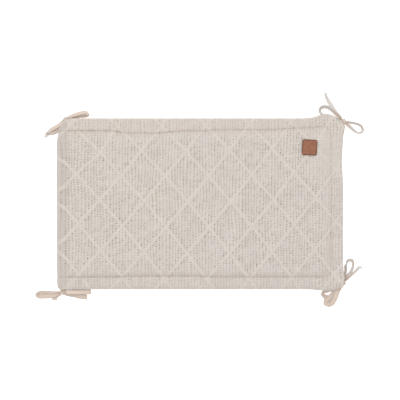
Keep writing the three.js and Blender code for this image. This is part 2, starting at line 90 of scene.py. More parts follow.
# The ties: at each corner of the strip one cotton tape, 10.5 mm wide, is caught in the seam at its
# middle and knotted there. Each of its two ends, a and b, makes a loop and then a free tail. A row
# is x, y, z in mm, then where the tape's width points, in plan and above level, or a knot's turn.
tape_width, tape_thick = 0.0105, 0.0013
seams = {
    "tie_right_back": (295.5, 170.5, 37, 139, 0),
    "tie_right_front": (300.5, -167, 37, 41, 0),
    "tie_left_front": (-282.5, -178.5, 6.8, 135, 0),
    "tie_left_back": (-278.5, 173, 6.8, 45, 0),
}
knots = {
    "tie_right_back": (300, 172, 28.5, 135),
    "tie_right_front": (299.5, -165.5, 26.5, 50),
    "tie_left_front": (-289, -185.5, 7.6, 5),
    "tie_left_back": (-282.5, 177.5, 7.6, 38),
}
routes = {
    "tie_right_back_a": [
        (300.5, 172, 28.5, 90, 72), (309.5, 171.5, 25.5, 95, 70), (319.5, 170, 20, 95, 70),
        (331.5, 168, 13, 70, 68), (340, 163.5, 8.4, 40, 66), (344, 156.5, 6.4, 0, 64),
        (342, 151, 6, 300, 64), (336.5, 149.5, 6, 270, 64), (330.5, 150.5, 7, 240, 62),
        (324, 155, 10.5, 225, 56), (317, 160.5, 15.5, 225, 50), (309, 166, 22.5, 225, 50),
        (302, 170.5, 27.5, 225, 60), (302, 171.5, 28, 214, 60), (297, 176.5, 28, 214, 48),
        (292, 183, 25.5, 214, 42), (286, 191, 21.5, 214, 38), (280.5, 199, 17, 214, 36),
        (276, 207.5, 12.5, 214, 32), (272, 214.5, 9, 210, 34), (268.5, 221.5, 6.4, 203, 40),
        (266, 227.5, 5.4, 192, 48), (265, 234, 5, 186, 56),
    ],
    "tie_right_back_b": [
        (300, 172.5, 29, 45, 80), (291.5, 182, 27, 45, 70), (283, 191, 22.5, 50, 60),
        (275, 198.5, 17.5, 60, 55), (268, 203, 13, 80, 52), (261, 204, 10, 100, 50),
        (255.5, 201.5, 8, 140, 48), (253.5, 196, 6.8, 185, 48), (256, 191, 6.6, 225, 55),
        (261.5, 187.5, 8, 260, 65), (270, 186.5, 11, 268, 72), (279.5, 184.5, 15, 268, 70),
        (289, 179.5, 19.5, 262, 72), (296, 175, 24, 240, 82), (300.5, 171.5, 27.5, 225, 75),
        (301, 171, 27, 100, 5), (302, 169.5, 22, 98, 0), (303.5, 168.5, 16.5, 96, 0),
        (304.5, 167.5, 11, 95, 0), (305, 166.5, 6.5, 95, 0), (306, 166, 2.2, 95, 0),
    ],
    "tie_right_front_a": [
        (299, -164.5, 28, 330, 78), (302, -157.5, 26.5, 0, 76), (304.5, -149.5, 23.5, 0, 70),
        (306.5, -139, 18.5, 0, 66), (307, -130, 13.5, 350, 62), (310, -122, 10, 130, 52),
        (315, -118.5, 8, 100, 48), (321, -119.5, 6.8, 60, 52), (323.5, -125, 6.5, 15, 62),
        (323, -133, 6.8, 345, 64), (319, -142, 9, 330, 62), (313, -149.5, 14, 320, 60),
        (307, -156, 20.5, 315, 66), (301.5, -163.5, 26.5, 310, 75), (299.5, -167, 26, 80, 75),
        (292.5, -175.5, 22.5, 90, 75), (285, -180.5, 18.5, 90, 72), (276, -183, 14, 90, 70),
        (267.5, -184.5, 10, 92, 58), (261.5, -186, 7.2, 130, 46), (259.5, -191, 6, 180, 42),
        (264, -195.5, 4.4, 215, 36), (269, -198, 3.2, 235, 14), (273.5, -201.5, 2.8, 240, 4),
        (277.5, -206, 3.2, 235, 4),
    ],
    "tie_right_front_b": [
        (298.5, -167.5, 27.5, 330, 70), (294, -175, 25, 345, 46), (289, -184, 21, 345, 24),
        (286.5, -193, 16, 340, 14), (283, -202, 11.5, 330, 12), (278.5, -209.5, 8, 305, 14),
        (271.5, -212.5, 5.8, 265, 20), (265.5, -209.5, 4.9, 215, 20), (267, -203.5, 5.4, 165, 6),
        (274, -197, 8.6, 150, 6), (279.5, -190, 13.4, 150, 12), (285, -181.5, 19.5, 140, 35),
        (291.5, -174.5, 25, 130, 65), (298, -167.5, 27.4, 310, 80), (299, -166.5, 27, 315, 80),
        (305, -161, 25.5, 315, 75), (312, -155, 22, 315, 72), (320, -148, 16.5, 315, 70),
        (328.5, -141, 10.5, 315, 68), (334, -135.5, 7.2, 312, 64), (337.5, -133.5, 6.3, 300, 58),
        (342, -135, 5.8, 275, 52),
    ],
    "tie_left_front_a": [
        (-289.5, -185, 8.4, 270, 85), (-296.5, -186, 8.8, 85, 70), (-307, -187.5, 8.4, 88, 52),
        (-319.5, -187, 7.4, 92, 46), (-332.5, -186.5, 6.6, 92, 48), (-339.5, -188, 6, 115, 52),
        (-343, -191.5, 5.3, 180, 50), (-339.5, -195, 4.2, 240, 35), (-330, -195, 3.2, 268, 14),
        (-317.5, -194.5, 3.2, 275, 14), (-306.5, -192.5, 4.2, 285, 22),
        (-296.5, -189.5, 5.4, 285, 36), (-289.5, -187, 6.4, 275, 50), (-290.5, -187.5, 5, 85, 35),
        (-283, -189, 2.6, 80, 10), (-274.5, -191, 1.2, 78, 0), (-265, -192.5, 0.9, 78, 0),
        (-255.5, -195, 0.9, 79, 0), (-246, -196.5, 0.9, 82, 0), (-237.5, -197.5, 0.9, 86, 0),
    ],
    "tie_left_front_b": [
        (-290.5, -185, 9, 90, 45), (-282, -185, 11.4, 90, 22), (-273.5, -185.5, 13, 90, 6),
        (-262, -185.5, 13, 90, 0), (-249.5, -185.5, 11.5, 90, 0), (-239, -185.5, 9, 90, 0),
        (-231.5, -186, 6.8, 90, 0), (-230, -185.5, 4.8, 90, 0), (-233, -186, 3.2, 90, 0),
        (-240.5, -186, 2.7, 90, 0), (-252, -186, 2.8, 90, 0), (-264.5, -186, 3.4, 90, 4),
        (-276, -186.5, 4.8, 90, 15), (-284.5, -187, 6, 90, 25), (-291, -187, 7, 90, 40),
        (-289.5, -187, 5.2, 127, 30), (-296.5, -190, 2.6, 120, 12), (-301, -192.5, 1.2, 126, 0),
        (-304.5, -195.5, 0.9, 146, 0), (-306.5, -199.5, 0.9, 168, 0), (-307, -203.5, 0.9, 174, 0),
    ],
    "tie_left_back_a": [
        (-281, 178.5, 8.4, 300, 70), (-287, 173.5, 8.8, 300, 55), (-293.5, 168, 8.4, 300, 44),
        (-301.5, 162.5, 7.8, 300, 38), (-311, 157, 7, 303, 38), (-318.5, 152.5, 6.4, 312, 48),
        (-323, 149.5, 5.9, 260, 80), (-319.5, 147.5, 5, 130, 65), (-312.5, 148.5, 4.7, 118, 48),
        (-305, 151, 4.6, 118, 44), (-297.5, 156, 5.1, 120, 50), (-291, 163, 6, 122, 62),
        (-285.5, 171, 6.8, 122, 75), (-282, 176.5, 7.2, 122, 75), (-282.5, 176.5, 4.6, 300, 35),
        (-276.5, 180.5, 2.2, 292, 10), (-269.5, 183, 1, 286, 0), (-262, 185, 0.9, 285, 0),
        (-254.5, 186.5, 0.9, 283, 0), (-247, 187.5, 0.9, 280, 0),
    ],
    "tie_left_back_b": [
        (-282.5, 177, 8.6, 300, 70), (-274, 182.5, 9.4, 298, 55), (-265.5, 186.5, 9, 292, 42),
        (-254, 190, 7.8, 286, 34), (-244, 192, 6.8, 282, 36), (-237.5, 192.5, 6.2, 280, 50),
        (-233.5, 190, 5.8, 0, 85), (-235, 186.5, 5.4, 100, 66), (-241, 185, 5, 100, 54),
        (-251, 184.5, 5.2, 100, 54), (-262.5, 183.5, 5.4, 102, 60), (-272.5, 181.5, 6, 110, 68),
        (-281, 177, 6.6, 120, 70), (-281.5, 178, 4.6, 300, 35), (-288.5, 172, 2.3, 305, 10),
        (-295.5, 165, 1.1, 303, 0), (-305, 157, 0.9, 302, 0), (-314.5, 151.5, 1.2, 310, 0),
        (-320.5, 148, 2.6, 335, 10), (-323.5, 144.5, 4.1, 0, 30), (-324.5, 139.5, 5.2, 5, 50),
    ],
}


def rising(start, end, value):
    """0 up to start and 1 from end on, and between them three times the share squared less twice
    its cube."""
    share = np.clip((value - start) / (end - start), 0, 1)
    return share * share * (3 - 2 * share)


def curve_through(points, parts):
    """A smooth curve through the points: between two it is the cubic with their places and slopes,
    and a slope comes from the points on either side, where the time between two is the square root
    of their distance. It is worked out at parts even steps between each two points."""
    before, after = 2 * points[:1] - points[1:2], 2 * points[-1:] - points[-2:-1]
    p0, p1, p2, p3 = (np.vstack([before, points, after])[k : len(points) - 1 + k] for k in range(4))
    d0, d1, d2 = (
        np.maximum(np.linalg.norm(b - a, axis=1, keepdims=True), 1e-9) ** 0.5
        for a, b in ((p0, p1), (p1, p2), (p2, p3))
    )
    t1 = ((p1 - p0) / d0 - (p2 - p0) / (d0 + d1) + (p2 - p1) / d1) * d1
    t2 = ((p2 - p1) / d1 - (p3 - p1) / (d1 + d2) + (p3 - p2) / d2) * d1
    w = (np.arange(parts) / parts)[None, :, None]
    p1, p2, t1, t2 = (a[:, None, :] for a in (p1, p2, t1, t2))
    line = p1 + t1 * w + (3 * (p2 - p1) - 2 * t1 - t2) * w**2 + (2 * (p1 - p2) + t1 + t2) * w**3
    return np.vstack([line.reshape(-1, 3), points[-1:]])


def unit(vectors):
    """Each vector over its length."""
    return vectors / np.linalg.norm(vectors, axis=-1, keepdims=True)


def tape_frame(rows, step):
    """Points every step metres along a route, the way across the tape and out of its face at each,
    and how far along they are. Across is the rows' way, turned evenly, less its part along."""
    parts = 24
    fine = curve_through(rows[:, :3], parts)
    turn, rise = np.radians(rows[:, 3:]).T
    across = np.stack([np.cos(turn) * np.cos(rise), np.sin(turn) * np.cos(rise), np.sin(rise)], 1)
    run = np.concatenate([[0], np.cumsum(np.linalg.norm(np.diff(fine, axis=0), axis=1))])
    places = np.linspace(0, run[-1], int(round(run[-1] / step)) + 1)
    row = np.interp(places, run, np.arange(len(run)) / parts)
    centre = np.stack([np.interp(places, run, fine[:, k]) for k in range(3)], 1)
    across = np.stack([np.interp(row, np.arange(len(rows)), across[:, k]) for k in range(3)], 1)
    along = unit(np.gradient(centre, axis=0))
    across = unit(across - along * (across * along).sum(1, keepdims=True))
    return centre, across, np.cross(along, across), places


def add_piece(name, points, faces, material, uv=None):
    """A mesh object with its place in its vertices, that rides on the one body of the model. uv is
    one pair of metres for each corner of each face, and goes into the map named cloth."""
    mesh = bpy.data.meshes.new(name)
    faces = faces.tolist() if isinstance(faces, np.ndarray) else faces
    mesh.from_pydata(points.reshape(-1, 3).tolist(), [], faces)
    if uv is not None:
        mesh.uv_layers.new(name="cloth").data.foreach_set("uv", np.asarray(uv, np.float32).ravel())
    mesh.polygons.foreach_set("use_smooth", np.full(len(mesh.polygons), True))
    mesh.materials.append(material)
    mesh.update()
    piece = bpy.data.objects.new(name, mesh)
    bpy.context.collection.objects.link(piece)
    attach(piece, "root")
    return piece


def grid_faces(rows, columns, closed_rows=False, closed_columns=False):
    """The four-sided faces of a grid of points held row by row, closed on itself where said."""
    r, c = np.meshgrid(
        np.arange(rows if closed_rows else rows - 1),
        np.arange(columns if closed_columns else columns - 1),
        indexing="ij",
    )
    r1, c1 = (r + 1) % rows, (c + 1) % columns
    corners = [r * columns + c, r * columns + c1, r1 * columns + c1, r1 * columns + c]
    return np.stack([corner.ravel() for corner in corners], 1)


# A ring of points every 1.2 mm of a tape, and the share of its width that it has near its knot.
tape_step, tape_around, gathered = 0.0012, 18, 0.45


def tape(name, rows, material, knot, stacked, seed):
    """A flat woven tape along a route. Its section is a superellipse of the tape's width and
    thickness with fuller selvedges, and it is dished a little and ripples along its length. Stacked
    is how far its first run is off the route, where the two ends leave the seam on each other."""
    centre, across, out, places = tape_frame(rows, tape_step)
    centre = centre + out * (stacked * (1 - rising(0.004, 0.010, places)))[:, None]
    angle = np.arange(tape_around) * 2 * np.pi / tape_around
    side = np.sign(np.cos(angle)) * np.abs(np.cos(angle)) ** 0.55
    face = np.sign(np.sin(angle)) * np.abs(np.sin(angle)) ** 0.8
    random = np.random.default_rng(seed)
    slow = sum(
        random.uniform(-1, 1) * np.sin(places * 2 * np.pi / length + random.uniform(0, 6))
        for length in (0.071, 0.043, 0.026)
    )
    away = np.linalg.norm(centre - knot, axis=1)
    width = tape_width / 2 * (gathered + (1 - gathered) * rising(0.004, 0.011, away))
    dish = (0.0005 + 0.0003 * slow)[:, None] * (side[None, :] ** 2 - 0.4)
    half = tape_thick / 2 * (0.85 + 0.25 * side**4)
    ring = (
        centre[:, None, :]
        + across[:, None, :] * (width[:, None] * side[None, :])[:, :, None]
        + out[:, None, :] * (half * face + dish)[:, :, None]
    )
    faces = grid_faces(len(places), tape_around, closed_columns=True)
    count = len(places) * tape_around
    caps = [list(range(tape_around))[::-1], list(range(count - tape_around, count))]
    cloth = np.stack(np.broadcast_arrays(places[:, None], tape_width / 2 * side), 2).reshape(-1, 2)
    uv = cloth[np.concatenate([faces.ravel(), *caps])]
    piece = add_piece(name, ring, faces.tolist() + caps, material, uv)
    reach = piece.data.attributes.new("away", "FLOAT", "POINT")
    reach.data.foreach_set("value", np.repeat(away, tape_around).astype(np.float32))
    return piece, centre


class Wire:
    """One value in a material's nodes. Arithmetic on wires and numbers adds Math nodes."""

    def __init__(self, finish, socket):
        self.finish, self.socket = finish, socket

    def math(self, operation, *inputs):
        """A Math node on the inputs, or on this value alone."""
        return self.finish.node(
            "ShaderNodeMath", {"operation": operation}, dict(enumerate(inputs or [self]))
        )

    def __add__(self, other):
        return self.math("ADD", self, other)

    def __sub__(self, other):
        return self.math("SUBTRACT", self, other)

    def __rsub__(self, other):
        return self.math("SUBTRACT", other, self)

    def __mul__(self, other):
        return self.math("MULTIPLY", self, other)

    def __truediv__(self, other):
        return self.math("DIVIDE", self, other)

    def __pow__(self, other):
        return self.math("POWER", self, other)

    def __abs__(self):
        return self.math("ABSOLUTE")

    __radd__, __rmul__ = __add__, __mul__

    def least(self, other):
        """The smaller of the two."""
        return self.math("MINIMUM", self, other)

    def most(self, other):
        """The greater of the two."""
        return self.math("MAXIMUM", self, other)

    def wave(self, length):
        """A sine between -1 and 1 that repeats after length."""
        return (self * (2 * np.pi / length)).math("SINE")

    def off_whole(self):
        """How far the value is from the nearest whole number, from 0 to 0.5."""
        return abs(self - self.math("ROUND"))

    def rising(self, start, end):
        """0 up to start and 1 from end on, smooth between them."""
        return self.finish.node(
            "ShaderNodeMapRange",
            {"interpolation_type": "SMOOTHSTEP"},
            {"Value": self, "From Min": start, "From Max": end},
        )


class Finish:
    """A material in the making, whose shader is one Principled BSDF."""

    def __init__(self, name, **constants):
        self.material = bpy.data.materials.new(name)
        self.material.use_nodes = True
        self.tree = self.material.node_tree
        self.tree.nodes.clear()
        self.shader = self.tree.nodes.new("ShaderNodeBsdfPrincipled")
        output = self.tree.nodes.new("ShaderNodeOutputMaterial")
        self.tree.links.new(self.shader.outputs["BSDF"], output.inputs["Surface"])
        for socket, value in constants.items():
            self.shader.inputs[socket.replace("_", " ")].default_value = value

    def plug(self, socket, value):
        """Links a wire to a socket, or sets the socket to a number or colour."""
        if isinstance(value, Wire):
            self.tree.links.new(value.socket, socket)
        else:
            socket.default_value = value

    def node(self, kind, settings, sockets, output=0):
        """Any node: its type, its settings, its sockets' values or wires, and which output."""
        made = self.tree.nodes.new(kind)
        for name, value in settings.items():
            setattr(made, name, value)
        for name, value in sockets.items():
            self.plug(made.inputs[name], value)
        return Wire(self, made.outputs[output])

    def parts(self, vector, count=3):
        """The first count numbers of a vector."""
        return [self.node("ShaderNodeSeparateXYZ", {}, {0: vector}, way) for way in range(count)]

    def uv(self, name="cloth"):
        """The two coordinates of a map, in metres along and across the cloth."""
        return self.parts(self.node("ShaderNodeUVMap", {"uv_map": name}, {}), 2)

    def held(self, name, output):
        """What the mesh holds in an attribute: a number is Fac, and three are Vector."""
        return self.node("ShaderNodeAttribute", {"attribute_name": name}, {}, output)

    def place(self):
        """The place on the piece in metres, in the model's frame."""
        return self.node("ShaderNodeTexCoord", {}, {}, "Object")

    def noise(self, at, size, detail=2, ways="3D"):
        """Noise from 0 to 1 whose lumps are about size metres apart, at a place or along a line."""
        sockets = {"W" if ways == "1D" else "Vector": at, "Scale": 1 / size, "Detail": detail}
        return self.node("ShaderNodeTexNoise", {"noise_dimensions": ways}, sockets)

    def mixed(self, share, first, second):
        """The first colour where share is 0 and the second where it is 1."""
        return self.node("ShaderNodeMix", {"data_type": "RGBA"}, {0: share, 6: first, 7: second}, 2)

    def layered(self, tint, *layers):
        """The colour tint under layers, each of which has its share and its colour."""
        for share, colour in layers:
            tint = self.mixed(share, tint, colour if isinstance(colour, Wire) else srgb(*colour))
        return tint

    def done(self, colour, height, depth, roughness=None):
        """Sets the colour and a bump of that many metres for a height from 0 to 1."""
        self.plug(self.shader.inputs["Base Color"], colour)
        bump = self.node("ShaderNodeBump", {}, {"Strength": 1, "Distance": depth, "Height": height})
        self.plug(self.shader.inputs["Normal"], bump)
        if roughness is not None:
            self.plug(self.shader.inputs["Roughness"], roughness)
        return self.material


def srgb(red, green, blue):
    """A colour given as a screen shows it, from 0 to 255, as the shader takes it."""
    part = np.array([red, green, blue]) / 255
    linear = np.where(part < 0.04045, part / 12.92, ((part + 0.055) / 1.055) ** 2.4)
    return (*linear.tolist(), 1)


# Cotton twill in a warm cream. Its ribs run in chevrons, and its selvedges are greyer. So are the
# right ties away from their knots, but for the front one's big loop, and the tip of the left back
# tie. The upper loop of the left front tie is painted lighter, as painted light where the side of
# the pad shades it.
finish = Finish("tie_tape", Roughness=0.95)
along, over = finish.uv()
rib = (along + 0.8 * abs(over)).wave(0.0011)
selvedge = abs(over).rising(0.0022, 0.0047)
blotch = finish.noise(finish.place(), 0.012)
x, y, z = finish.parts(finish.place())
# Greyer away from the knots of the right ties and at the tip of the left back tie.
greyed_far_from_knot = finish.held("away", "Fac").rising(0.010, 0.034) * (x + 3 * y).rising(-0.30, -0.20)
greyed_far_from_knot = greyed_far_from_knot * x.rising(-0.2, 0).most(1 - x.rising(-0.322, -0.312))
# Painted light on the upper loop of the left front tie, where the side of the pad shades it.
painted_light_loop = x.rising(-0.285, -0.275) * z.rising(0.006, 0.009) * (1 - (x + 3 * y).rising(-0.7, -0.6))
tint = finish.layered(
    srgb(230, 212, 198),
    (blotch, (217, 198, 183)),
    (0.25 * rib.rising(-0.2, -1), (170, 146, 125)),
    (0.75 * greyed_far_from_knot, (215, 213, 210)),
    (0.8 * painted_light_loop, (250, 232, 218)),
    ((0.75 - 0.3 * greyed_far_from_knot) * selvedge, (186, 180, 173)),
)
cotton = finish.done(tint, 0.5 + 0.4 * rib * (1 - selvedge), 0.00012)

# The turns of a knot. Each has how far its axis leans aside and up, its radius and width, and how
# far along the bundle of tape it lies.
wraps = (
    (0.10, 0.15, 0.0046, 0.0070, -0.0018),
    (-0.55, 0.25, 0.0048, 0.0056, 0.0018),
    (0.35, -0.60, 0.0046, 0.0052, 0.0002),
)
wrap_steps, wrap_around = 64, 20


def knot_wraps(middle, turn):
    """The knot: turns of gathered tape round the bundle of tape that passes through it. Each is a
    ring whose axis leans its own way off the bundle's, and its section is a flat rounded bar with
    two creases along it."""
    angle = np.linspace(0, 2 * np.pi, wrap_steps, endpoint=False)[:, None]
    section = np.linspace(0, 2 * np.pi, wrap_around, endpoint=False)[None, :]
    side = np.sign(np.cos(section)) * np.abs(np.cos(section)) ** 0.6
    face = np.sign(np.sin(section)) * np.abs(np.sin(section)) ** 0.8
    bundle = np.array([np.cos(turn), np.sin(turn), 0])
    beside, up = np.array([-np.sin(turn), np.cos(turn), 0]), np.array([0, 0, 1])
    rings, cloth = [], []
    for lean, tip, radius, wide, shift in wraps:
        axis = unit(bundle + lean * beside + tip * up)
        first = unit(beside - axis * (beside @ axis))
        second = np.cross(axis, first)
        crease = 0.00025 * np.cos(3 * np.pi * side + 2 * angle)
        high = radius + 0.0003 * np.cos(2 * angle + lean * 9) + 0.00065 * face + crease * (face > 0)
        flat = wide / 2 * (1 + 0.12 * np.cos(3 * angle + tip * 7)) * side
        flat = (flat + shift + 0.0007 * np.sin(angle + lean))[..., None]
        way = np.cos(angle)[..., None] * first + np.sin(angle)[..., None] * second
        rings.append((high[..., None] * way + flat * axis + middle).reshape(-1, 3))
        places = np.broadcast_arrays(angle * radius, tape_width / 2 * side)
        cloth.append(np.stack(places, 2).reshape(-1, 2))
    faces = grid_faces(wrap_steps, wrap_around, True, True)
    faces = np.vstack([faces + wrap_steps * wrap_around * k for k in range(len(wraps))])
    return np.vstack(rings), faces, np.vstack(cloth)[faces.ravel()]


for tie, (*middle, turn) in knots.items():
    middle = np.array(middle) / 1000
    points, faces, uv = knot_wraps(middle, np.radians(turn))
    knot = add_piece(tie.replace("tie", "knot"), points, faces, cotton, uv)
    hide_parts(tie)
    for label, stacked in (("a", 0.0007), ("b", -0.0007)):
        name, seed = f"{tie}_{label}", len(bpy.data.objects)
        rows = np.array([seams[tie], *routes[name]]) / (1000, 1000, 1000, 1, 1)
        piece, line = tape(name, rows, cotton, middle, stacked, seed)
        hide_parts(tie)

# The strip: a pad 1.76 m long and 0.357 m wide, two faces of thick cotton knit sewn together round
# the edge over a polyester fill, and topstitched 25 mm in. It is folded back and forth in three,
# the trellis up. u runs along it, and is x on the top layer. v runs across it.
stack_length, strip_width, layer_pitch = 0.598, 0.357, 0.0184
middle_fold_inset, low_end_inset = 0.007, 0.012
floor_press, edge_settle = 0.0008, 0.14
crown_half, border_half, edge_round, crown_start = 0.0088, 0.0072, 0.009, 0.060
fold_nip, fold_nip_reach = 0.0026, 0.022
stitch_inset, stitch_depth, stitch_spread, stitch_turn = 0.025, 0.0039, 0.0045, 0.020
fold_stitch_share = 0.35
trellis_length, trellis_width, trellis_u, trellis_v = 0.0905, 0.1039, -0.0265, 0.002
trellis_past_fold, band_half, band_height = 0.010, 0.003, 0.0012

half_length, half_width = stack_length / 2, strip_width / 2
fold_radius = layer_pitch / 2
fold_reach = fold_radius + crown_half
left_fold_x = fold_reach - half_length
right_fold_x = half_length - middle_fold_inset - fold_reach
low_end_x = low_end_inset - half_length
low_z = crown_half - floor_press
top_z = low_z + 2 * layer_pitch
fold_run = np.pi * fold_radius
left_start = left_fold_x
left_end = left_start - fold_run
right_start = left_end - (right_fold_x - left_fold_x)
right_end = right_start - fold_run
strip_end = right_end - (right_fold_x - low_end_x)

# Where the topstitching wanders on the top layer: x, and how far it is then from the back edge and
# from the front edge.
stitch_places, stitch_back, stitch_front = np.array([
    (-600, 25, 25), (-286, 26.4, 26), (-182, 26.4, 26), (-155, 31.1, 27), (-83, 31.1, 28),
    (-41, 26.6, 28), (11, 26.6, 27), (31, 24.3, 26), (146, 24.3, 26), (200, 20.5, 26),
    (300, 20, 27),
]).T / 1000

# The pulls of the ties and of the seams at the corners: x, y, how far they move the cloth along x
# and y, how far that reaches, and the height above which it does.
pulls = np.array([
    (-299, 178, 7.5, -8, 17, -20), (-299, -178, 0, -1, 11, -20), (-299, -153, -1.5, 0, 22, -20),
    (262, 178, 0, 10, 20, 28), (299, 178, -4, -10, 13, -20), (299, 178, 1, 3.5, 13, 28),
    (299, 162, 5, 0, 14, 28), (299, 90, -2, 0, 30, -20), (299, -156, 4, 0, 15, 28),
    (299, -178, -4, 8, 13, -20), (299, -178, 3, -4.5, 13, 28), (262, -178, 0, -2.5, 22, 28),
]) / 1000
pull_fade = 0.012

# How high the puckers across the stitching are, the swells all over and the waves of the border.
pucker_high, swell_high, wave_high = 0.0009, 0.0007, 0.0008


def nearer(first, second, turn):
    """The smaller of two distances, rounded over turn where they are alike."""
    share = np.clip(0.5 + (second - first) / (2 * turn), 0, 1)
    return second + (first - second) * share - turn * share * (1 - share)


def rounded_edge(distance):
    """Rises from 0 at a sewn edge to 1 along a quarter of an ellipse."""
    flat = 1 - np.minimum(distance / edge_round, 1)
    return np.sqrt(np.maximum(1 - flat * flat, 0))


# The share of each power in the knit's shift along u, then along v, in mm.
knit_shifts = (0.7, -2.3, -1, -5.8, 5.4, -7.7, 0.4, -4.4), (1.2, 1.3, 4.3, 11.6, 4.1, -2, 1, -0.7)


def knit_place(u, v):
    """Where a place of the strip is on the trellis, which isn't knitted quite straight: u and v
    less its shift there in mm, a sum of low powers of u and v in half lengths and half widths, and
    of a push near the back left corner."""
    p, q = np.clip(u / 0.3, -1.1, 1.1), v / 0.18
    powers = (1, p, q, p**2, p * q, q**2, p**3, p**2 * q)
    shift_u, shift_v = (sum(a * b for a, b in zip(shares, powers)) for shares in knit_shifts)
    push = np.exp(-((u + 0.207) ** 2 + (v - 0.106) ** 2) / 0.045**2)
    return u - 0.001 * (shift_u + 8 * push), v - 0.001 * (shift_v - 5.5 * push)


def trellis_height(u, v):
    """A ridge along every line where either slanting coordinate is whole."""
    u, v = knit_place(u, v)
    along, over = (u - trellis_u) / trellis_length, (v - trellis_v) / trellis_width
    share = band_half * np.hypot(1 / trellis_length, 1 / trellis_width)
    off = lambda value: np.abs(value - np.round(value)) / share
    nearest = np.minimum(off(along + over), off(along - over))
    return band_height * np.exp(-1.6 * nearest**2)


def ripples(u, v, lengths, seed):
    """Waves of several lengths in four directions each, added up, from about -1 to 1."""
    random = np.random.default_rng(seed)
    total = np.zeros(np.broadcast(u, v).shape)
    for length in lengths:
        for _ in range(4):
            turn, phase = random.uniform(0, 2 * np.pi, 2)
            way = (u * np.cos(turn) + v * np.sin(turn)) * 2 * np.pi / length
            total += np.sin(way + phase + 0.6 * np.sin(way * 0.31 + 2 * phase))
    return total / (2 * len(lengths)) ** 0.5 / 2


def end_distance(u):
    """How far a place is from the nearer end of the strip."""
    return np.minimum(half_length - u, u - strip_end)


def stitch_distance(u, v):
    """How far inside the topstitching a place is, plus the inset: 0.025 is on the line."""
    sides = (np.interp(u, stitch_places, inset) for inset in (stitch_back, stitch_front))
    from_side = half_width - np.abs(v) + stitch_inset - np.where(v > 0, *sides)
    return nearer(from_side, end_distance(u), stitch_turn)


def half_thickness(u, v, side):
    """Half the pad's thickness: crowned towards the middle, dipped along the topstitching, less at
    the end, with puckers across it, nipped inside the folds and rounded off at the sewn edge. The
    trellis stands on the front and is pressed flat in the bend of the left fold."""
    from_side, from_end = half_width - np.abs(v), end_distance(u)
    from_edge = nearer(from_side, from_end, stitch_turn)
    from_left = np.abs(u - (left_start + left_end) / 2) - fold_run / 2
    from_right = np.abs(u - (right_start + right_end) / 2) - fold_run / 2
    inner, outer = (from_right, from_left) if side > 0 else (from_left, from_right)
    stitch_share = fold_stitch_share + (1 - fold_stitch_share) * rising(0, fold_nip_reach, outer)
    stitched = stitch_distance(u, v) - stitch_inset
    half = border_half + (crown_half - border_half) * rising(stitch_inset, crown_start, from_edge)
    at_end = 1 - 0.7 * rising(half_length - 0.040, half_length - 0.028, u)
    half -= stitch_depth * stitch_share * at_end * np.exp(-np.abs(stitched) / stitch_spread)
    half -= fold_nip * (1 - rising(0, fold_nip_reach, inner))
    free = rising(left_end, left_start, u) if side > 0 else 0.25
    along = np.where(from_side < half_length - np.abs(u), u, v)
    pucker = ripples(along, 0 * v, (0.011, 0.017), 3) * np.exp(-np.abs(stitched) / 0.009)
    pucker *= stitch_share * (1 - np.exp(-np.abs(stitched) / 0.002))
    half += free * pucker_high * pucker
    half += free * swell_high * ripples(u, v, (0.09, 0.055), 5)
    border = np.exp(-(((stitched + 0.012) / 0.009) ** 2))
    half += free * wave_high * border * ripples(along, 0 * v, (0.034, 0.021), 7)
    if side > 0:
        seen = rising(left_end - trellis_past_fold, left_end, u) * rising(-0.013, -0.003, from_left)
        half += trellis_height(u, v) * seen
    return half * rounded_edge(from_side) * rounded_edge(from_end)


def settled(points):
    """Presses the lowest layer flat, settles the stack's edges and pulls the cloth at the ties."""
    x, y, z = points[..., 0], points[..., 1], points[..., 2]
    level = rising(0, crown_start, half_length - np.abs(x))
    level *= rising(0, crown_start, half_width - np.abs(y))
    moved = np.stack([x, y, np.maximum(z, 0) * (1 - edge_settle * (1 - level))], -1)
    for pull_x, pull_y, dx, dy, reach, above in pulls:
        share = np.exp(-((x - pull_x) ** 2 + (y - pull_y) ** 2) / reach**2)
        share *= rising(above, above + pull_fade, z)
        moved[..., 0] += dx * share
        moved[..., 1] += dy * share
    return moved


def on_strip(u, v, side):
    """The strip's surface as it lies: its middle line is three level runs joined by two half
    circles, and the pad's face is half its thickness off that line."""
    u, v = np.broadcast_arrays(u, v)
    left = np.clip((left_start - u) / fold_radius, 0, np.pi)
    right = np.clip((right_start - u) / fold_radius, 0, np.pi)
    turn = left - right
    normal_x, normal_z = -np.sin(turn), np.cos(turn)
    bulge = fold_radius * normal_x
    x = np.select(
        [u >= left_start, u > left_end, u >= right_start, u > right_end],
        [u, left_fold_x + bulge, left_fold_x + left_end - u, right_fold_x - bulge],
        right_fold_x - right_end + u,
    )
    z = top_z - fold_radius * (1 - np.cos(left)) - fold_radius * (1 - np.cos(right))
    offset = side * half_thickness(u, v, side)
    return settled(np.stack([x + offset * normal_x, v, z + offset * normal_z], -1))


def steps(*runs):
    """Places from each run's start to its end, at even steps no longer than the run's length for
    them, and once at a shared end."""
    places = [np.linspace(a, b, int(np.ceil(abs(b - a) / step)) + 1)[:-1] for a, b, step in runs]
    return np.concatenate([*places, [runs[-1][1]]])


round_off = edge_round * (1 - np.cos(np.linspace(0, np.pi / 2, 7)))
u_places = np.concatenate([
    half_length - round_off[:-1],
    steps(
        (half_length - edge_round, half_length - 0.017, 0.0022),
        (half_length - 0.017, half_length - 0.034, 0.0013),
        (half_length - 0.034, left_start + 0.012, 0.0024),
        (left_start + 0.012, left_end - 0.012, 0.0018),
        (left_end - 0.012, right_start + 0.012, 0.009),
        (right_start + 0.012, right_end - 0.012, 0.0025),
        (right_end - 0.012, strip_end + edge_round, 0.009),
    )[:-1],
    strip_end + round_off[::-1],
])
v_inner = steps(
    (half_width - edge_round, half_width - 0.015, 0.002),
    (half_width - 0.015, half_width - 0.036, 0.0014),
    (half_width - 0.036, 0, 0.0025),
)
v_half = np.concatenate([half_width - round_off[:-1], v_inner])
v_places = np.concatenate([v_half, -v_half[-2::-1]])
rim_columns, back_step = 11, 4


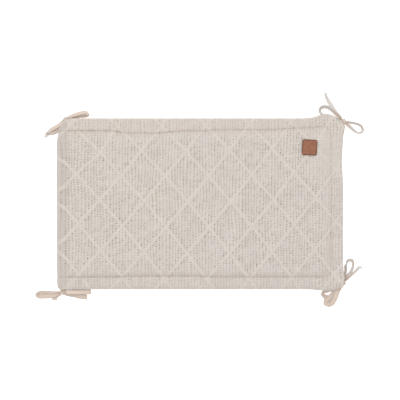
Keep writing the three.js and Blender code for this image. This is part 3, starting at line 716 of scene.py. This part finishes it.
def strip_mesh():
    """The points of the front and back, their faces, each corner's u and v, and its place in the
    map of the cloth. The back takes all of the front's columns near the sewn edges and every fourth
    between, and shares its rim."""
    rows, columns = len(u_places), len(v_places)
    u, v = np.meshgrid(u_places, v_places, indexing="ij")
    front = on_strip(u, v, 1).reshape(-1, 3)
    near, far = rim_columns, columns - rim_columns
    between = np.arange(near, far, back_step)
    kept = np.concatenate([np.arange(near), between, np.arange(far, columns)])
    index = np.arange(rows * columns).reshape(rows, columns)
    back = index[:, kept].copy()
    inner = (rows - 2) * (len(kept) - 2)
    back[1:-1, 1:-1] = rows * columns + np.arange(inner).reshape(rows - 2, -1)
    u_back, v_back = np.meshgrid(u_places[1:-1], v_places[kept[1:-1]], indexing="ij")
    points = np.vstack([front, on_strip(u_back, v_back, -1).reshape(-1, 3)])
    cloth = np.vstack([
        np.stack([u.ravel(), v.ravel()], 1), np.stack([u_back.ravel(), v_back.ravel()], 1)
    ])
    corner = lambda grid: [grid[:-1, :-1], grid[1:, :-1], grid[1:, 1:], grid[:-1, 1:]]
    over = np.stack([part.ravel() for part in corner(index)], 1)
    under = np.stack([part.ravel() for part in corner(back[1:-1])][::-1], 1)
    ends = []
    for near, far, turned in ((0, 1, 1), (rows - 1, rows - 2, -1)):
        for k in range(len(kept) - 1):
            rim = index[near, kept[k] : kept[k + 1] + 1].tolist()
            ends.append([*rim, back[far, k + 1], back[far, k]][::turned])
    faces = over.tolist() + under.tolist() + ends
    places = cloth[np.concatenate([over.ravel(), under.ravel(), np.concatenate(ends)])]
    uv = places + np.where(np.arange(len(places)) < over.size, 0, 1)[:, None] * [0, 1]
    return points, faces, places, uv


# The knit: stitches in columns 6.3 mm wide run across the strip, with dark pin holes between them,
# shallow and few outside the topstitching. On the front the trellis stands up in smooth lighter
# bands, whose edges step with the stitches and which have a map of their own. Four small stitches
# fit each way between two holes. The map of the cloth holds the back a metre further across, and it
# has no trellis. The attribute seam holds how far a place is inside the topstitching, how far along
# it, and how much of its height the pad has there, for the groove along the sewn edge and the
# painted shade in and towards it.
finish = Finish("knit_cloth", Roughness=1)
along, across = finish.uv()
behind = across.rising(0.49, 0.51)
place = finish.place()
inside, run, edge = finish.parts(finish.held("seam", "Vector"))
folds = [abs(along - (left_start + left_end) / 2), abs(along - (right_start + right_end) / 2)]
fold = folds[0].least(folds[1])
bend, turned = 1 - fold.rising(0.004, 0.016), 1 - fold.rising(0.012, 0.030)
at_end = along.rising(0.262, 0.280)
smooth = 1 - (((along - 0.272) ** 2 + (across - 0.105) ** 2) / 0.0022).rising(0.1, 1.8)
outside = 1 - inside.rising(-0.002, 0.004)
beside_seam = (1 - inside.rising(0.002, 0.026)) * (1 - outside) * (1 - at_end)
open_knit = 1 - outside * (0.42 - 0.27 * at_end) - 0.5 * beside_seam
open_knit = open_knit * (1 - 0.8 * bend) * (1 - 0.55 * smooth)


def pair(first, second):
    """Two wires as one vector."""
    return finish.node("ShaderNodeCombineXYZ", {}, {0: first, 1: second})


def chance(ways, **cell):
    """A random number from 0 to 1 for each whole number, or pair of them."""
    return finish.node("ShaderNodeTexWhiteNoise", {"noise_dimensions": ways}, cell, "Value")


# Columns and rows of stitches are counted in whole numbers, where the holes are. The columns wander
# a little, and each has its own start.
wale, course = 0.00633, 0.0051
patchy = finish.noise(place, 0.011)
slack = finish.noise(pair(along, 0.35 * across), 0.042, 1)
column = (along + 0.083 * along.most(-0.3) ** 2) / wale + 2 * slack
row = across / course + 1.6 * patchy + 0.6 * chance("1D", W=column.math("ROUND"))
wobble = 0.10 * finish.noise(place, 0.0015) - 0.05
between = (column + wobble).off_whole()
dots, tufts = (
    chance("2D", Vector=pair(column.math(whole), row.math(whole))) for whole in ("ROUND", "FLOOR")
)
stitch = 0.5 + 0.5 * (row + 0.8 * between).wave(1)
rib = between.rising(0, 0.22)
leg = (4 * column).off_whole()
small = 0.5 + 0.5 * (4 * row + 1.3 * leg + wobble).wave(1)
small = small * (1 - 0.7 * leg.rising(0.36, 0.5)) * (0.6 + 0.4 * leg.rising(0, 0.14))
tall = (row + wobble).off_whole() / (0.27 + 0.12 * dots)
spread = 1 - ((between / 0.25) ** 2 + tall**2).least(1)

# A band of the trellis is where one of the two slanting coordinates is near a whole number. Its
# edge follows the steps of the stitches by two fifths.
repeats = ((trellis_u, trellis_length, wale / 2), (trellis_v, trellis_width, course))
places = [
    (value.math("SNAP", value, step) * 0.4 + (value + step / 2) * 0.6 - start - step * 0.3) / length
    for value, (start, length, step) in zip(finish.uv("trellis"), repeats)
]
off_band = (places[0] + places[1]).off_whole().least((places[0] - places[1]).off_whole())
off_band = off_band / np.hypot(1 / trellis_length, 1 / trellis_width)
band = (1 - off_band.rising(0.0014, 0.0042)) * (1 - behind) * (1 - 0.5 * bend)
band = band * (1 - outside * (0.35 - 0.3 * at_end))
beside_band = off_band.rising(0.0030, 0.0045) * (1 - off_band.rising(0.0055, 0.0120))
hole = spread * open_knit * (0.45 + 0.55 * dots)
hole = hole * (0.70 + 0.1 * patchy.rising(0.38, 0.62) + 0.3 * beside_band)

# The painted shade lies beside the stitching, along the front edge, towards the sewn edge, in the
# folds and between puckers. The colours go from the cotton's own through greyer tufts, the warmer
# back border, painted shade, holes, bands and fluff to the painted shade in the crease of the
# stitching and in the groove of the sewn edge.
streak, dash = finish.noise(run, 1 / 150, 2, "1D"), finish.noise(run, 1 / 55, 3, "1D")
blotch, warmth = finish.noise(place, 0.030, 3), finish.noise(place, 0.11, 1)
fine = finish.noise(place, 0.003)
front = 0.6 * (1 - across.rising(-0.178, -0.164))
hollow = (1 - inside.rising(0, 0.014)) * (1 - outside) * (1 - at_end)
hollow = (0.75 - 0.4 * across.rising(-0.1, 0.1)) * hollow
puckers = outside * (0.1 + 0.45 * streak.rising(0.42, 0.68)) * (1 - 0.7 * at_end)
shade = puckers.most(0.95 * turned).most(front.most(hollow)).most(1 - edge.rising(0, 0.9))
raised = finish.mixed(0.3 * stitch, srgb(229, 221, 212), srgb(218, 209, 200))
# The crease along the topstitching gets painted shade, darker in dashes, less to the right and at the
# end.
crease = (1 - abs(inside).rising(0.0004, 0.0022)) * (0.10 + 1.1 * dash.rising(0.45, 0.62)).least(1)
crease = (0.34 - 0.2 * along.rising(-0.10, 0.06)) * crease * (1 - 0.9 * at_end)
# The groove along the sewn edge is sunk in the bump and gets painted shade.
groove = 1 - edge.rising(0.02, 0.10)
tint = finish.layered(
    srgb(226, 218, 209),
    (blotch.rising(0.3, 0.7), (222, 214, 205)),
    (0.35 * warmth.rising(0.35, 0.65), (222, 213, 211)),
    (0.35 * tufts * tufts * open_knit, (196, 186, 176)),
    (0.1 * (1 - rib) * open_knit, (196, 186, 176)),
    (0.3 * outside * across.rising(0, 0.15) * (1 - at_end), (231, 213, 203)),
    (shade, (206, 198, 190)),
    (hole.least(1), (112, 100, 89)),
    (0.78 * band, raised),
    (0.22 * fine.rising(0.45, 0.75), (170, 159, 149)),
    (0.17 * (1 - small), (160, 149, 139)),
    (crease, (136, 120, 106)),
    (0.6 * groove, (150, 138, 127)),
)
height = (0.5 + 0.2 * rib * open_knit * stitch - 0.3 * hole) * (1 - band)
height = height + band * (0.8 + 0.12 * stitch) + 0.2 * fine + 0.22 * small - 0.5 * groove
knit = finish.done(tint, height, 0.0007)

points, faces, places, uv = strip_mesh()
strip = add_piece("strip", points, faces, knit, uv)
u, v = places.T
trellis = np.stack(knit_place(u, v), 1).astype(np.float32)
strip.data.uv_layers.new(name="trellis").data.foreach_set("uv", trellis.ravel())
from_side, from_end = half_width - np.abs(v), end_distance(u)
edge = rounded_edge(np.minimum(from_end, from_side))
seam = [stitch_distance(u, v) - stitch_inset, np.where(from_side < from_end, u, v), edge]
held = strip.data.attributes.new("seam", "FLOAT_VECTOR", "CORNER")
held.data.foreach_set("vector", np.stack(seam, 1).astype(np.float32).ravel())
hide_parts("bumper_strip")


# The topstitching: one line of cotton thread, sewn right round the strip through both faces, with
# a stitch every 3.4 mm. It is made where it can be seen, on the front of the top layer and round
# the left fold, and on the back of the lowest layer.
stitch_pitch, stitch_long, thread_round = 0.0034, 0.0026, 0.0003
thread_rise = np.array([-0.0001, 0.0005, 0.0007, 0.0005, -0.0001])


def stitch_line(step):
    """The closed line where stitch_distance is the inset, found by halving on rays that go out from
    a rectangle 45 mm inside the edge and fan out at its corners."""
    reach = 0.045
    start, end, side = strip_end + reach, half_length - reach, half_width - reach
    fan = np.radians(np.arange(0, 90, 3))
    bases, ways = [], []
    corners = ((end, side), (start, side), (start, -side), (end, -side))
    for k in range(4):
        (u0, v0), (u1, v1) = corners[k], corners[(k + 1) % 4]
        count = int(np.hypot(u1 - u0, v1 - v0) / step)
        share = np.arange(count)[:, None] / count
        first = np.radians(90 * (k + 1))
        turn = np.concatenate([np.full(count, first), first + fan])
        side_line = np.array([u0, v0]) * (1 - share) + np.array([u1, v1]) * share
        bases.append(np.vstack([side_line, np.repeat([[u1, v1]], len(fan), 0)]))
        ways.append(np.stack([np.cos(turn), np.sin(turn)], 1))
    base, way = np.vstack(bases), np.vstack(ways)
    low, high = np.zeros(len(base)), np.full(len(base), reach)
    for _ in range(20):
        middle = (low + high) / 2
        inside = stitch_distance(*(base + way * middle[:, None]).T) > stitch_inset
        low, high = np.where(inside, middle, low), np.where(inside, high, middle)
    return base + way * low[:, None]


def stitches_on_strip(places, ways, side):
    """The middle line of a stitch for each place on the strip and way along it, sunk in the cloth
    at its ends, and the way out of the cloth there."""
    nodes = np.linspace(-0.5, 0.5, 5) * stitch_long
    line = places[:, None, :] + ways[:, None, :] * nodes[None, :, None]
    beside = np.stack([-ways[:, 1], ways[:, 0]], 1)[:, None, :] * 0.0008
    left, right = (on_strip(*np.moveaxis(line + way * beside, 2, 0), side) for way in (1, -1))
    centre = (left + right) / 2
    out = side * unit(np.cross(np.gradient(centre, axis=1), left - right))
    return centre + out * thread_rise[:, None], out


def add_thread(name, centre, out, material):
    """One piece with a six-sided bar of thread, thinner at its ends, along every row of points."""
    along = unit(np.gradient(centre, axis=1))
    across = unit(np.cross(out, along))
    out = np.cross(along, across)
    angle = np.arange(6)[:, None] * np.pi / 3
    ring = np.cos(angle) * across[:, :, None, :] + np.sin(angle) * out[:, :, None, :]
    thick = thread_round * np.array([0.7, 1, 1, 1, 0.7])
    points = centre[:, :, None, :] + ring * thick[:, None, None]
    ends = [list(range(6))[::-1], list(range(24, 30))]
    bar = grid_faces(5, 6, closed_columns=True).tolist() + ends
    faces = [[corner + 30 * k for corner in face] for k in range(len(centre)) for face in bar]
    thread = add_piece(name, points, faces, material)


finish = Finish("thread", Roughness=0.8)
twist = finish.noise(finish.place(), 0.0009, 1)
tint = finish.mixed(twist.rising(0.3, 0.7), srgb(204, 193, 181), srgb(186, 173, 160))
cream_thread = finish.done(tint, twist, 0.0001)

line = stitch_line(0.001)
line = np.vstack([line, line[:1]])
run = np.concatenate([[0], np.cumsum(np.hypot(*np.diff(line, axis=0).T))])
at = (np.arange(int(run[-1] / stitch_pitch)) + 0.5) * stitch_pitch
on_line = lambda where: np.stack([np.interp(where, run, line[:, k]) for k in (0, 1)], 1)
places, ways = on_line(at), unit(on_line(at + 0.0012) - on_line(at - 0.0012))
over, under = places[:, 0] > left_end, places[:, 0] < right_start
front = stitches_on_strip(places[over], ways[over], 1)
back = stitches_on_strip(places[under], ways[under], -1)
centre, out = (np.concatenate(pair) for pair in zip(front, back))
add_thread("topstitching", centre, out, cream_thread)

# The patch: a square of plain brown leather, sewn on near a corner of the top layer. Its cut edge
# is darker, and brown thread runs round inside it.
patch_length, patch_width, patch_thick = 0.0316, 0.0331, 0.0014
patch_x, patch_y, patch_turn = 0.228, 0.117, np.radians(-3.5)


def patch_grid(shrink, count):
    """Points of a rounded square, from its middle out to its rim less shrink: rings of the rim's
    shape, each scaled down by its share of the way out."""
    angle = np.linspace(0, 2 * np.pi, 96, endpoint=False)
    half_x, half_y = patch_length / 2 - shrink, patch_width / 2 - shrink
    way = np.stack([np.cos(angle), np.sin(angle)], 1)
    power = 9
    reach = (np.abs(way / (half_x, half_y)) ** power).sum(1) ** (-1 / power)
    share = np.linspace(1, 0, count)[:-1]
    return way[None] * (share[:, None] * reach[None])[:, :, None]


def on_patch(flat, lift):
    """Lays flat points on the pad, turned as the patch is, with lift above the cloth's bands."""
    x = patch_x + flat[..., 0] * np.cos(patch_turn) - flat[..., 1] * np.sin(patch_turn)
    y = patch_y + flat[..., 0] * np.sin(patch_turn) + flat[..., 1] * np.cos(patch_turn)
    cloth = on_strip(x, y, -1)
    mirrored = 2 * settled(np.stack([x, y, np.full_like(x, top_z)], -1))[..., 2] - cloth[..., 2]
    return np.stack([x, y, mirrored + band_height + 0.0004 + lift], -1)


finish = Finish("patch_leather", Roughness=0.55, Specular_IOR_Level=0.4)
place = finish.place()
grain = finish.node("ShaderNodeTexVoronoi", {}, {"Vector": place, "Scale": 1100})
blotch = finish.noise(place, 0.008, 3)
along, over = finish.uv()
corner = (abs(along) / (patch_length / 2)).most(abs(over) / (patch_width / 2))
tint = finish.layered(
    srgb(164, 110, 82),
    (blotch.rising(0.3, 0.75), (146, 94, 67)),
    (0.85 * corner.rising(0.8, 1), (104, 70, 53)),
    (0.3 * grain.rising(0.1, 0.5), (120, 74, 54)),
)
leather = finish.done(tint, 1 - grain, 0.00012, 0.5 + 0.2 * blotch)

finish = Finish("brown_thread", Roughness=0.7)
twist = finish.noise(finish.place(), 0.0009, 1)
brown_thread = finish.done(finish.mixed(twist, srgb(122, 82, 62), srgb(98, 64, 48)), twist, 0.0001)

top = patch_grid(0.0005, 14)
side = [patch_grid(shrink, 3)[:1] for shrink in (0, 0, 0.0005)]
flat = np.concatenate([side[2], side[1], side[0], top, np.zeros((1, top.shape[1], 2))])
lift = np.concatenate([[0, 0.0004, 0.0010], np.full(len(top), patch_thick), [patch_thick]])
faces = grid_faces(len(flat), flat.shape[1], closed_columns=True)
points = on_patch(flat, lift[:, None] + np.zeros(flat.shape[:2]))
bottom = [list(range(flat.shape[1]))[::-1]]
uv = np.vstack([flat.reshape(-1, 2)[faces.ravel()], flat.reshape(-1, 2)[bottom[0]]])
patch = add_piece("patch", points, faces.tolist() + bottom, leather, uv)
merge = patch.modifiers.new("merge", "WELD")
merge.merge_threshold = 0.00002
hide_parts("leather_patch")

stitches_a_side, thread_inset = 10, 0.0024
share = (np.arange(stitches_a_side)[:, None] + np.linspace(0.12, 0.88, 5)) / stitches_a_side * 2 - 1
half_x, half_y = patch_length / 2 - thread_inset, patch_width / 2 - thread_inset
along, over = 0.86 * half_x * share, 0.86 * half_y * share
sides = (along, half_y), (along, -half_y), (half_x, over), (-half_x, over)
flat = np.concatenate([np.stack(np.broadcast_arrays(*side), 2) for side in sides])
centre = on_patch(flat, patch_thick + thread_rise - 0.0004)
out = np.zeros_like(centre) + (0, 0, 1)
add_thread("patch_stitching", centre, out, brown_thread)

# The stage: a wide white floor under the bumper, one broad soft light high above it and a white
# surround. The floor glows a little, so that it stays plain white, and the colours are shown as
# they are rendered, without a film curve.
floor_mesh = bpy.data.meshes.new("floor")
corners = [(-30, -30), (30, -30), (30, 30), (-30, 30)]
floor_mesh.from_pydata([(*corner, -0.0004) for corner in corners], [], [(0, 1, 2, 3)])
floor_finish = Finish("floor", Roughness=1, Emission_Color=(1, 1, 1, 1), Emission_Strength=0.6)
floor_finish.shader.inputs["Base Color"].default_value = (0.85, 0.85, 0.85, 1)
floor_mesh.materials.append(floor_finish.material)
floor = bpy.data.objects.new("floor", floor_mesh)
bpy.context.collection.objects.link(floor)
floor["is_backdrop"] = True

light_data = bpy.data.lights.new("key", "AREA")
light_data.size, light_data.energy = 2, 62
light = bpy.data.objects.new("key", light_data)
light.location = (-0.3, 0.6, 4)
aim = light.location - Vector((0, 0, 0.04))
light.rotation_euler = aim.to_track_quat("Z", "Y").to_euler()
bpy.context.collection.objects.link(light)

world = bpy.data.worlds.new("surround")
world.use_nodes = True
world.node_tree.nodes["Background"].inputs["Color"].default_value = (1, 1, 1, 1)
world.node_tree.nodes["Background"].inputs["Strength"].default_value = 0.72
bpy.context.scene.world = world
bpy.context.scene.view_settings.view_transform = "Standard"

boxes = {"cad": cad_box, "visual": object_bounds()}
{name: [list(corner) for corner in box] for name, box in boxes.items()}
